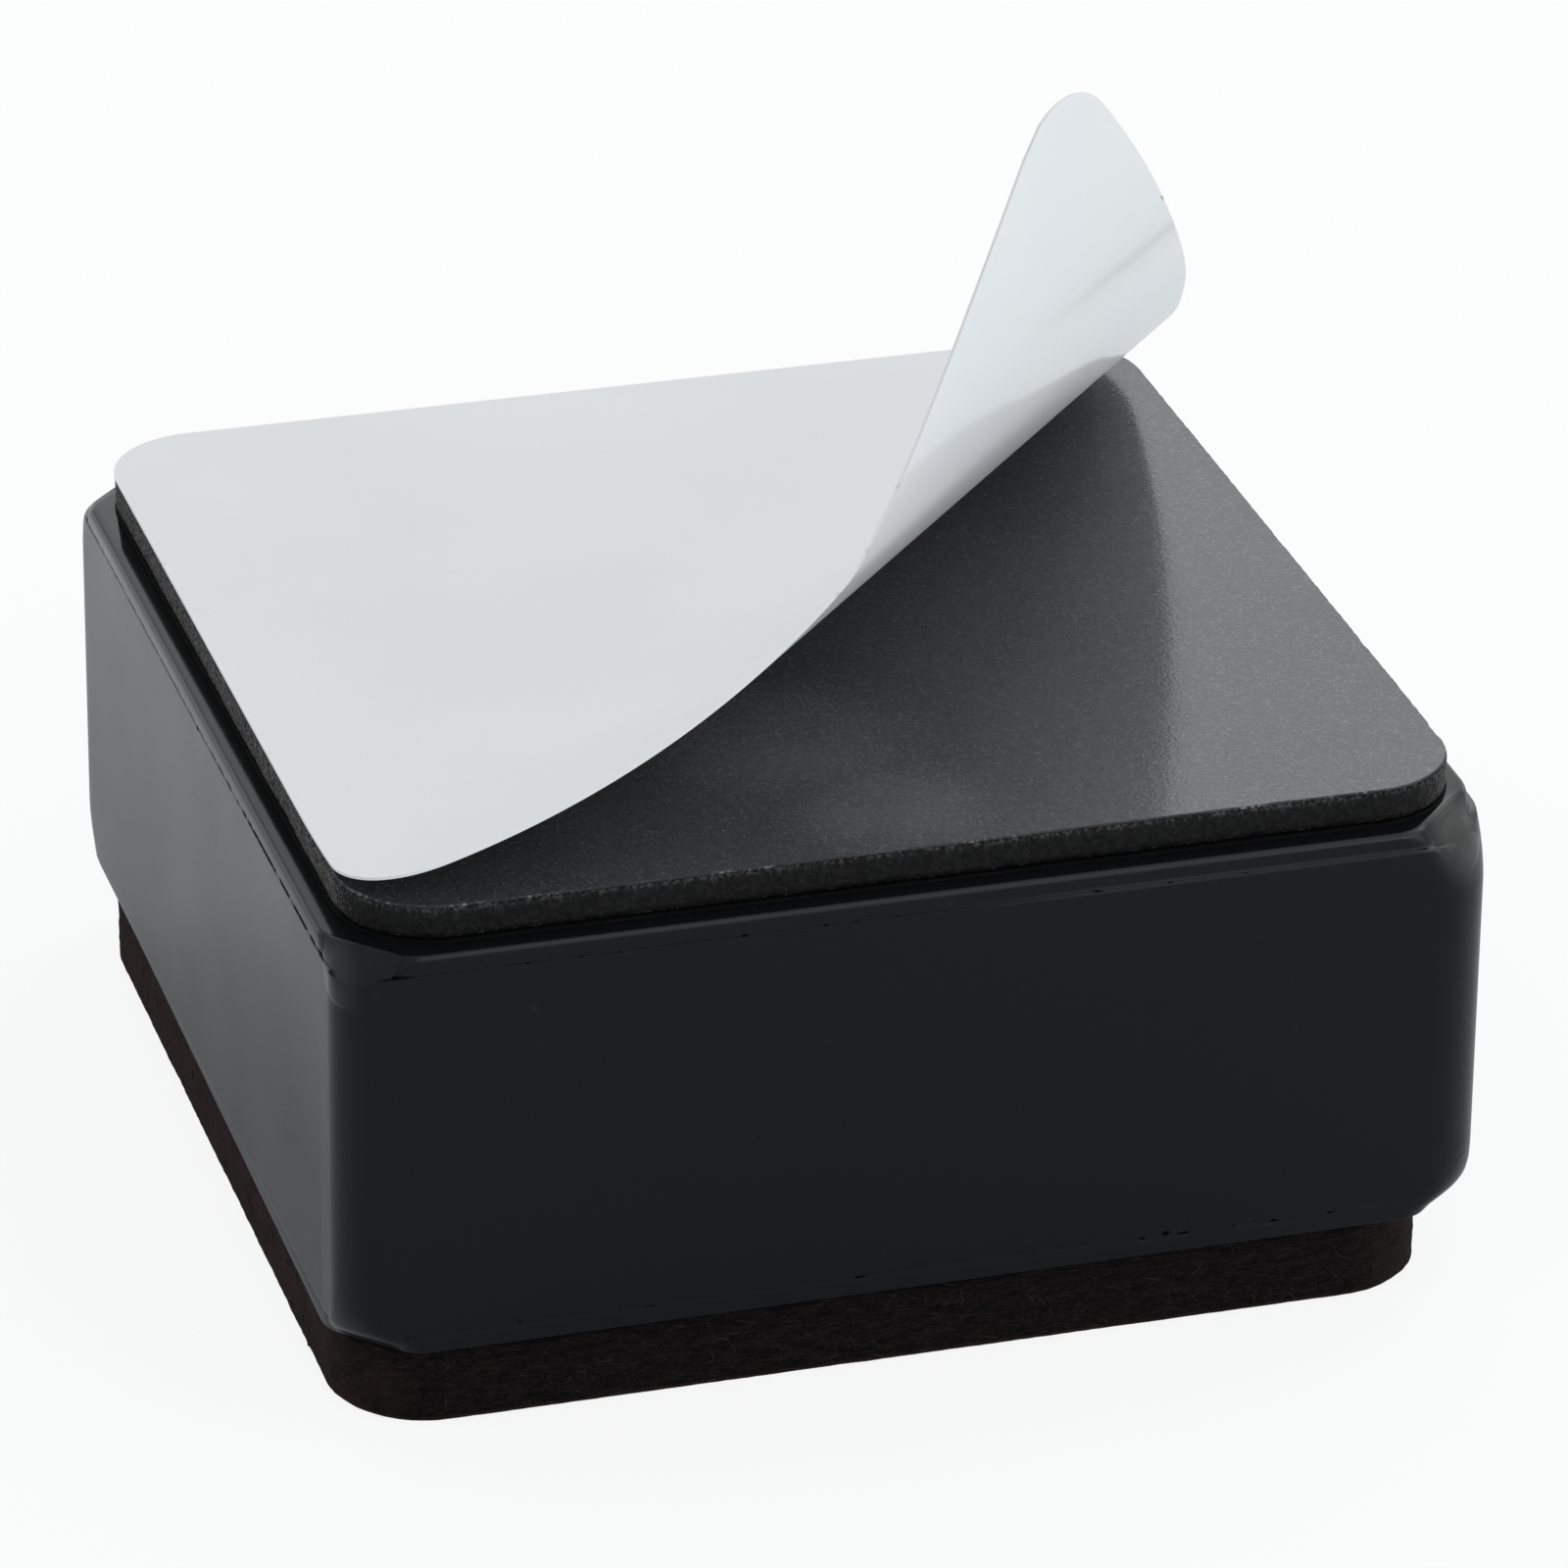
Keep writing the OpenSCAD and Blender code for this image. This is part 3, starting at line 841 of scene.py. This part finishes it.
class RISER_OT_corner_welds(bpy.types.Operator):
    """Model the eight weld beads, each lumpy in its own way and smoothed by paint"""

    bl_idname = "riser.corner_welds"
    bl_label = "Corner welds"

    root_depth = 0.3 * MM
    rim_depth = 0.03 * MM

    def execute(self, context):
        sizes = context.scene.riser_sizes
        for end in ENDS:
            for name, turn in corner_names(end).items():
                deselect()
                bpy.ops.mesh.primitive_uv_sphere_add(segments=48, ring_count=28, radius=1)
                node = name.replace("_", "_weld_", 1)
                piece = name_added(f"painted_{node}")
                self.shape_bead(piece, sizes, name, math.radians(turn), ENDS[end])
                bpy.ops.object.mode_set(mode="EDIT")
                face_outward()
                smooth(piece, 60)
                dress(piece, "riser", ["satin_black_paint"], [node])
        return {"FINISHED"}

    def shape_bead(self, piece, sizes, name, turn, up):
        """Bends a ball over its corner as a bead that is blunt at the plate and runs out to a round tip."""
        weld = weld_at(name)
        seed = Vector((turn * 3, up * 3.1, 1.7))
        for vertex in piece.data.vertices:
            x, y, z = vertex.co
            chord = math.sqrt(max(1 - z * z, 1e-9))
            side = max(-1.0, min(1.0, y / chord))
            crown = (1 - side * side) * chord
            lump = noise.fractal(vertex.co * 1.3 + seed, 1.0, 2.0, 2)
            down = (1 - z) / 2
            aside = side * weld.half_w * math.sqrt(max(1 - down * down, 0.0)) + weld.lean * down
            depth = weld.start + down * (weld.end - weld.start)
            co, out = self.skin(sizes, name, turn, up, aside, depth)
            rise = weld.bead_h * (1 + 0.3 * lump) * crown if x > 0 else -self.root_depth * crown
            vertex.co = co + out * (rise - self.rim_depth)

    def skin(self, sizes, name, turn, up, aside, depth):
        """Point of the filled corner and the direction out of it, by its way from the corner's middle and its depth.

        A depth below 0 lies on the plate's outer face."""
        weld = weld_at(name)
        low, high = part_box("bottom_plate")[0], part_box("top_plate")[1]
        plate_t = high.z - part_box("top_plate")[0].z
        diagonal = Vector((math.cos(turn), math.sin(turn)))
        z = (high.z if up > 0 else low.z) - up * max(depth, 0.0)
        tube_r = tube_radius(sizes, name)
        filled_r = tube_r + (weld.fill_r - tube_r) * eased(1.25 * (1 - depth / weld.end))
        flat = round_corner(turn, aside, high.x, filled_r)
        left = weld.plate_left + (weld.tube_left - weld.plate_left) * eased(0.8 * depth / plate_t)
        on_facet = facet_at(sizes, name, left)
        out = on_facet.col[0].xyz
        stands_out = (Vector((*flat, z)) - on_facet.translation).dot(out)
        flat -= diagonal * soft_excess(stands_out, sizes.facet_blend) / out.xy.dot(diagonal)
        flat += diagonal * min(depth, 0.0)
        flat.x += corner_shift(name.split("_")[0], flat / high.x) * eased(2 - depth / plate_t)
        level = max(0.0, min(1.0, 0.5 - depth / plate_t))
        return Vector((*flat, z)), out.lerp(Vector((0, 0, up)), level)


def cut_slab(name, low, high, corner_r, arc_steps, flat_cuts, rings):
    """Adds a slab with round upright corners, a fine grid on its sides and closed faces."""
    piece = add_block(name, low, high)
    round_edges(piece, is_upright, corner_r, segments=arc_steps)
    pick(piece, "FACE", level_at(low.z, high.z))
    bpy.ops.mesh.delete(type="ONLY_FACE")
    shortest = 4 * corner_r / arc_steps
    for cuts in flat_cuts:
        pick(piece, "EDGE", lambda a, b: abs(a.z - b.z) < SAME_PLACE and (a - b).length > shortest)
        bpy.ops.mesh.subdivide(number_cuts=cuts)
    add_rings([low.z + (high.z - low.z) * i / rings for i in range(1, rings)])
    for height in (low.z, high.z):
        pick(piece, "EDGE", level_at(height))
        bpy.ops.mesh.edge_face_add()
    face_outward()
    deselect()
    return piece


def rounded_in(depth, radius):
    """How far a round edge stands back at a depth below its face."""
    if depth >= radius:
        return 0.0
    rest = 1 - max(depth, 0.0) / radius
    return radius * (1 - math.sqrt(1 - rest * rest))


def set_back_sides(piece, low, high, corner_r, set_back):
    """Moves each point of a slab's sides in by the distance that a function gives for its place."""
    centre, half_w = (low + high) / 2, (high.x - low.x) / 2
    for vertex in piece.data.vertices:
        co = vertex.co.copy()
        vertex.co = co - outward(co - centre, half_w, corner_r) * set_back(co)


class RISER_OT_foam_pad(bpy.types.Operator):
    """Model the foam core with open cells on its cut sides"""

    bl_idname = "riser.foam_pad"
    bl_label = "Foam pad"

    def execute(self, context):
        sizes = context.scene.riser_sizes
        low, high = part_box("foam_pad")
        corner_r = sizes.pad_corner_r
        piece = cut_slab("foam_core", low, high, corner_r, arc_steps=48, flat_cuts=(15, 19), rings=12)

        def open_cells(co):
            """How far the foam lies in at a place, for its open cells, crumbs and soft edges."""
            nearest = noise.voronoi(co / sizes.foam_cell)[0][0]
            pit = max(0.0, 1 - nearest / 0.45)
            crumb = noise.noise(co / (0.16 * MM))
            drift = noise.noise(co / (4 * MM))
            edge = rounded_in(co.z - low.z, 0.35 * MM) + rounded_in(high.z - co.z, 0.1 * MM)
            return edge + (0.09 * pit + 0.03 * crumb + 0.05 * drift + 0.05) * MM

        set_back_sides(piece, low, high, corner_r, open_cells)
        smooth(piece, 60)
        dress(piece, "riser", ["open_cell_foam"], ["foam_pad"])
        return {"FINISHED"}


class RISER_OT_adhesive_films(bpy.types.Operator):
    """Model the sticky face with its ragged cut edge, and finish the two hidden bonds"""

    bl_idname = "riser.adhesive_films"
    bl_label = "Adhesive films"

    def execute(self, context):
        sizes = context.scene.riser_sizes
        low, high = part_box("top_adhesive")
        corner_r = sizes.pad_corner_r
        piece = cut_slab("adhesive_face", low, high, corner_r, arc_steps=48, flat_cuts=(15, 19), rings=3)

        def cut_edge(co):
            """How far the film lies in at a place, for its ragged edge and its nicks."""
            rag = noise.fractal(co.xy.to_3d() / (0.5 * MM), 1.0, 2.0, 3)
            nick = max(0.0, noise.noise(co.xy.to_3d() / (2.5 * MM)) - 0.35)
            return rounded_in(high.z - co.z, 0.06 * MM) + (0.03 * rag + 0.25 * nick + 0.08) * MM

        set_back_sides(piece, low, high, corner_r, cut_edge)
        smooth(piece, 35)
        dress(piece, "riser", ["adhesive_face"], ["top_adhesive"])
        for node in ("foam_bond", "felt_bond"):
            set_finishes(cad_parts[node], ["adhesive_bond"])
        return {"FINISHED"}


class RISER_OT_felt_pad(bpy.types.Operator):
    """Model the felt pad, matted in layers, and the loose fibres on its sides"""

    bl_idname = "riser.felt_pad"
    bl_label = "Felt pad"

    fibre_points = 8

    def execute(self, context):
        sizes = context.scene.riser_sizes
        low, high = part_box("felt_pad")
        corner_r = sizes.felt_corner_r
        piece = cut_slab("felt_slab", low, high, corner_r, arc_steps=40, flat_cuts=(12, 15), rings=24)
        centre, half_w = (low + high) / 2, (high.x - low.x) / 2
        shifts = [corner_shift("felt", (vertex.co - centre).xy / half_w) for vertex in piece.data.vertices]

        def matted(co):
            """How far the felt lies in at a place, for its layers, tufts and soft edges."""
            layer = noise.fractal(Vector((co.x, co.y, co.z * 4)) / (1.5 * MM), 1.0, 2.0, 3)
            tuft = noise.noise(co / (0.5 * MM))
            edge = rounded_in(co.z - low.z, 0.2 * MM) + rounded_in(high.z - co.z, 0.3 * MM)
            return edge + (0.03 * layer + 0.025 * tuft + 0.04) * MM

        set_back_sides(piece, low, high, corner_r, matted)
        for vertex, shift in zip(piece.data.vertices, shifts):
            vertex.co.x += shift
        smooth(piece, 60)
        dress(piece, "riser", ["pressed_felt"], ["felt_pad"])
        self.add_fibres(sizes, low, high)
        return {"FINISHED"}

    def add_fibres(self, sizes, low, high):
        """Adds fibres that follow the felt's sides, each with its own heading, bend and thickness."""
        centre, half_w = (low + high) / 2, (high.x - low.x) / 2
        draw = random.Random(11)
        curve = bpy.data.curves.new("felt_fibres", "CURVE")
        curve.dimensions = "3D"
        curve.bevel_depth = sizes.fibre_r
        curve.bevel_resolution = 0
        round_len = 8 * (half_w - sizes.felt_corner_r) + 2 * math.pi * sizes.felt_corner_r
        for _ in range(sizes.fibre_count):
            share = draw.random()
            z = draw.uniform(low.z + 0.4 * MM, high.z - 0.15 * MM)
            heading = draw.gauss(0, 0.7)
            bend = draw.gauss(0, 0.5)
            stand = abs(draw.gauss(0, 0.05)) * MM
            step = draw.uniform(0.08, 0.24) * MM
            thick = draw.uniform(0.6, 1.5)
            spline = curve.splines.new("POLY")
            spline.points.add(self.fibre_points - 1)
            for i, point in enumerate(spline.points):
                rise = math.sin(math.pi * i / (self.fibre_points - 1))
                flat, out = side_point(share % 1, half_w - 0.08 * MM, sizes.felt_corner_r)
                flat.x += corner_shift("felt", flat / half_w)
                flat += centre.xy + out * (rise * stand)
                point.co = (*flat, z, 1)
                point.radius = thick * (0.4 + 0.6 * rise)
                share += step * math.cos(heading) / round_len
                z = max(low.z + 0.25 * MM, min(high.z - 0.05 * MM, z + step * math.sin(heading)))
                heading += bend * 0.5
        piece = bpy.data.objects.new("felt_fibres", curve)
        bpy.context.scene.collection.objects.link(piece)
        make_active(piece)
        bpy.ops.object.convert(target="MESH")
        piece = bpy.context.object
        bpy.ops.object.shade_smooth()
        dress(piece, "riser", ["felt_fibre"])


class Curl:
    """Straight lines along which the liner bends, each named by its distance w from the peel line."""

    def __init__(self, sizes, half_w):
        self.sizes = sizes
        self.half_w = half_w
        self.core = half_w - sizes.pad_corner_r
        self.across = Vector((math.sin(sizes.peel_angle), -math.cos(sizes.peel_angle)))
        reach = self.core * (self.across.x - self.across.y) + sizes.pad_corner_r
        self.first = sizes.peel_offset - reach
        self.tip_start = sizes.peel_offset + reach - sizes.tip_len
        self.last = self.last_line()

    def angle(self, w):
        sizes = self.sizes
        if w <= 0:
            return sizes.peel_angle
        if w < self.tip_start:
            return sizes.peel_angle + sizes.fan_angle * w / self.tip_start
        return sizes.peel_angle + sizes.fan_angle - sizes.tip_angle * (w - self.tip_start) / sizes.tip_len

    def point(self, w):
        return self.across * (w - self.sizes.peel_offset)

    def along(self, w):
        return Vector((math.cos(self.angle(w)), math.sin(self.angle(w))))

    def last_line(self):
        """Last line that still touches the front right corner, found by halving."""
        low, high = self.tip_start, self.tip_start + 2 * self.sizes.tip_len
        for _ in range(40):
            w = (low + high) / 2
            angle = self.angle(w)
            aside = Vector((math.sin(angle), -math.cos(angle)))
            overlap = (Vector((self.core, -self.core)) - self.point(w)).dot(aside) + self.sizes.pad_corner_r
            low, high = (w, high) if overlap > 0 else (low, w)
        return low - self.sizes.tip_trim

    def span(self, w):
        """Stretch of a line that lies on the liner, as two distances from the line's point."""
        point, way = self.point(w), self.along(w)
        spans = []
        for half_x, half_y in ((self.half_w, self.core), (self.core, self.half_w)):
            x = sorted(((-half_x - point.x) / way.x, (half_x - point.x) / way.x))
            y = sorted(((-half_y - point.y) / way.y, (half_y - point.y) / way.y))
            spans.append((max(x[0], y[0]), min(x[1], y[1])))
        for corner in CORNERS:
            apart = point - corner_sides(corner) * self.core
            ahead = apart.dot(way)
            chord_square = ahead * ahead - apart.dot(apart) + self.sizes.pad_corner_r ** 2
            if chord_square > 0:
                half_chord = math.sqrt(chord_square)
                spans.append((-ahead - half_chord, -ahead + half_chord))
        spans = [(start, end) for start, end in spans if start < end]
        return min(start for start, _ in spans), max(end for _, end in spans)

    def bend(self, w):
        """Bend of the sheet at a line, as a turn for each metre, with the soft crease in it."""
        sizes = self.sizes
        aside = (w - sizes.crease_offset) / sizes.crease_len
        crease = 1 + math.cos(2 * math.pi * aside) if abs(aside) < 0.5 else 0.0
        radius = sizes.curl_radius if aside < 0 else sizes.tip_radius
        return 1 / radius + crease * sizes.crease_angle / sizes.crease_len

    def fold(self, w, turn):
        """Turn of the sheet about one of its lines."""
        point = self.point(w).to_3d()
        about = Matrix.Rotation(-turn, 4, self.along(w).to_3d())
        return Matrix.Translation(point) @ about @ Matrix.Translation(-point)

    def places(self):
        """Distances of the rows of points, closer together where the outline turns sharply."""
        flat_rows, curl_rows = 44, 230
        for i in range(flat_rows):
            share = (i + 0.08) / flat_rows
            yield self.first * (1 - share * share)
        for i in range(curl_rows + 1):
            share = i / curl_rows
            yield self.last * (1.25 * share - 0.25 * share ** 5)


class RISER_OT_release_liner(bpy.types.Operator):
    """Model the release liner as one sheet that curls up from its peel line"""

    bl_idname = "riser.release_liner"
    bl_label = "Release liner"

    columns = 48

    def execute(self, context):
        sizes = context.scene.riser_sizes
        half_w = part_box("top_adhesive")[1].x
        liner_low, liner_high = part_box("liner_sheet")
        curl = Curl(sizes, half_w)
        flat_points, points = self.curl_up(curl, liner_low.z)
        row = self.columns + 1
        faces = [
            (a, a + 1, a + row + 1, a + row)
            for start in range(0, len(points) - row, row)
            for a in range(start, start + self.columns)
        ]
        mesh = bpy.data.meshes.new("release_liner")
        mesh.from_pydata(points, [], faces)
        piece = bpy.data.objects.new("release_liner", mesh)
        context.scene.collection.objects.link(piece)
        layer = mesh.uv_layers.new(name="flat_sheet")
        for loop in mesh.loops:
            layer.data[loop.index].uv = flat_points[loop.vertex_index] / (2 * half_w) + Vector((0.5, 0.5))
        if mesh.polygons[0].normal.z < 0:
            mesh.flip_normals()
        sides = ["liner_print_side", "liner_release_side"]
        dress(piece, None, sides, ["liner_sheet", "liner_flap"])
        apply_modifier(
            piece, "SOLIDIFY", thickness=liner_high.z - liner_low.z, offset=1, material_offset=1,
        )
        smooth(piece, 35)
        start = curl.point(0).to_3d() + Vector((0, 0, liner_high.z))
        start + curl.across.to_3d() * sizes.bend_len
        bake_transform(piece)
        return {"FINISHED"}

    def curl_up(self, curl, height):
        """Points of the sheet, row by row, laid flat about its middle and curled up from its peel line."""
        flat_points, points = [], []
        move, before = Matrix.Identity(4), 0.0
        lift = Matrix.Translation((0, 0, height))
        for w in curl.places():
            if w > 0:
                middle = (w + before) / 2
                move = move @ curl.fold(middle, (w - before) * curl.bend(middle))
                before = w
            start, end = curl.span(w)
            for i in range(self.columns + 1):
                flat = curl.point(w) + curl.along(w) * (start + (end - start) * i / self.columns)
                flat_points.append(flat)
                points.append(lift @ move @ flat.to_3d())
        return flat_points, points


class RISER_OT_inner_ribs(bpy.types.Operator):
    """Give the crossed ribs inside the tube their bare steel"""

    bl_idname = "riser.inner_ribs"
    bl_label = "Inner ribs"

    def execute(self, context):
        for node in ("rib_across", "rib_along"):
            set_finishes(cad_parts[node], ["rolled_steel"])
        return {"FINISHED"}


class RISER_OT_finishes(bpy.types.Operator):
    """Make the materials of all the riser's pieces"""

    bl_idname = "riser.finishes"
    bl_label = "Finishes"

    def execute(self, context):
        sizes, colours = context.scene.riser_sizes, context.scene.riser_colours
        paint_finish(colours, sizes)
        foam_finish(colours, sizes)
        adhesive_finish(colours, sizes)
        bond_finish(colours)
        felt_finish(colours)
        fibre_finish(colours)
        paper_finish("liner_print_side", colours, sizes, roughness=0.5, level=0.35, coat=0.0)
        paper_finish("liner_release_side", colours, sizes, roughness=0.4, level=0.4, coat=0.6)
        steel_finish(colours)
        return {"FINISHED"}


def white_glow(finish, kind):
    return finish.node(kind, {}, {"Color": (1, 1, 1, 1), "Strength": 1.0})


def add_softbox(name, place, target, width, height, power, colour=(1, 1, 1)):
    deselect()
    bpy.ops.object.light_add(type="AREA", location=place)
    lamp = name_added(name)
    lamp.rotation_euler = (Vector(place) - Vector(target)).to_track_quat("Z", "Y").to_euler()
    lamp.data.shape = "RECTANGLE"
    lamp.data.size, lamp.data.size_y = width, height
    lamp.data.energy = power
    lamp.data.color = colour


class RISER_OT_stage(bpy.types.Operator):
    """Set up the pale floor, the soft studio light and the camera"""

    bl_idname = "riser.stage"
    bl_label = "Stage"

    def execute(self, context):
        scene = context.scene
        scene.view_settings.view_transform = "Standard"
        deselect()
        bpy.ops.mesh.primitive_plane_add(size=6)
        floor = name_added("studio_floor")
        finish = new_finish("studio_floor")
        finish.shade({"Base Color": solid(scene.riser_colours.floor), "Roughness": 1.0, "Specular IOR Level": 0.0})
        seen = finish.node("ShaderNodeLightPath", output="Is Camera Ray")
        finish.cover(seen * 0.87, white_glow(finish, "ShaderNodeEmission"))
        floor.data.materials.append(finish.owner)
        self.light_world(scene)
        middle = (0, 0, 0.03)
        add_softbox("back_softbox", (0.21, 0.69, 0.36), middle, 0.7, 0.5, power=0.74, colour=(0.93, 0.98, 1))
        add_softbox("side_softbox", (0.45, 0.3, 0.6), (0, 0, 0), 0.6, 0.6, power=0.75)
        add_softbox("fill_softbox", (0.63, -0.57, 0.18), middle, 0.7, 0.5, power=2.4)
        self.add_camera(scene)
        return {"FINISHED"}

    def light_world(self, scene):
        world = bpy.data.worlds.new("studio")
        scene.world = world
        finish = Finish(world)
        finish.shade({"Color": (1, 1, 1, 1), "Strength": 0.77})
        path = finish.node("ShaderNodeLightPath", output="Is Camera Ray")
        seen = path.at_least(path.out("Is Glossy Ray")).at_least(path.out("Is Transmission Ray"))
        finish.cover(seen, white_glow(finish, "ShaderNodeBackground"))

    def add_camera(self, scene):
        """Adds the photograph's camera by its direction, its distance from a target and its roll."""
        azimuth, elevation, roll = (math.radians(a) for a in (-16.758, 26.326, 0.669))
        target, distance = Vector((1.804, 1.462, 17.547)) * MM, 474.25 * MM
        back = Vector((
            math.sin(azimuth) * math.cos(elevation), -math.cos(azimuth) * math.cos(elevation), math.sin(elevation),
        ))
        deselect()
        bpy.ops.object.camera_add()
        camera = name_added("photo_camera")
        right = Vector((0, 0, 1)).cross(back).normalized()
        up = back.cross(right)
        level = Matrix((right, up, back)).transposed()
        camera.matrix_world = (
            Matrix.Translation(target + back * distance)
            @ level.to_4x4()
            @ Matrix.Rotation(roll, 4, "Z")
        )
        camera.data.sensor_width = 36
        camera.data.lens = 207.5
        camera.data.clip_start, camera.data.clip_end = 0.01, 20
        scene.camera = camera


STEPS = (
    RISER_OT_stage,
    RISER_OT_finishes,
    RISER_OT_painted_plates,
    RISER_OT_painted_tube,
    RISER_OT_corner_welds,
    RISER_OT_inner_ribs,
    RISER_OT_foam_pad,
    RISER_OT_adhesive_films,
    RISER_OT_felt_pad,
    RISER_OT_release_liner,
)


class RISER_PT_panel(bpy.types.Panel):
    """Sidebar panel with the riser's sizes, colours and steps"""

    bl_idname = "RISER_PT_panel"
    bl_label = "Furniture riser"
    bl_space_type = "VIEW_3D"
    bl_region_type = "UI"
    bl_category = "Riser"

    def draw(self, context):
        column = self.layout.column()
        for group in (context.scene.riser_sizes, context.scene.riser_colours):
            for name in group.bl_rna.properties.keys():
                if name not in ("rna_type", "name"):
                    column.prop(group, name)
        for step in STEPS:
            column.operator(step.bl_idname)


CLASSES = (RiserSizes, RiserColours, *STEPS, RISER_PT_panel)


def register():
    for cls in CLASSES:
        bpy.utils.register_class(cls)
    bpy.types.Scene.riser_sizes = PointerProperty(type=RiserSizes)
    bpy.types.Scene.riser_colours = PointerProperty(type=RiserColours)


def unregister():
    del bpy.types.Scene.riser_colours
    del bpy.types.Scene.riser_sizes
    for cls in reversed(CLASSES):
        bpy.utils.unregister_class(cls)


def main():
    register()
    bpy.ops.riser.stage()
    bpy.ops.riser.finishes()
    bpy.ops.riser.painted_plates()
    bpy.ops.riser.painted_tube()
    bpy.ops.riser.corner_welds()
    bpy.ops.riser.inner_ribs()
    bpy.ops.riser.foam_pad()
    bpy.ops.riser.adhesive_films()
    bpy.ops.riser.felt_pad()
    bpy.ops.riser.release_liner()


if __name__ == "__main__":
    main()
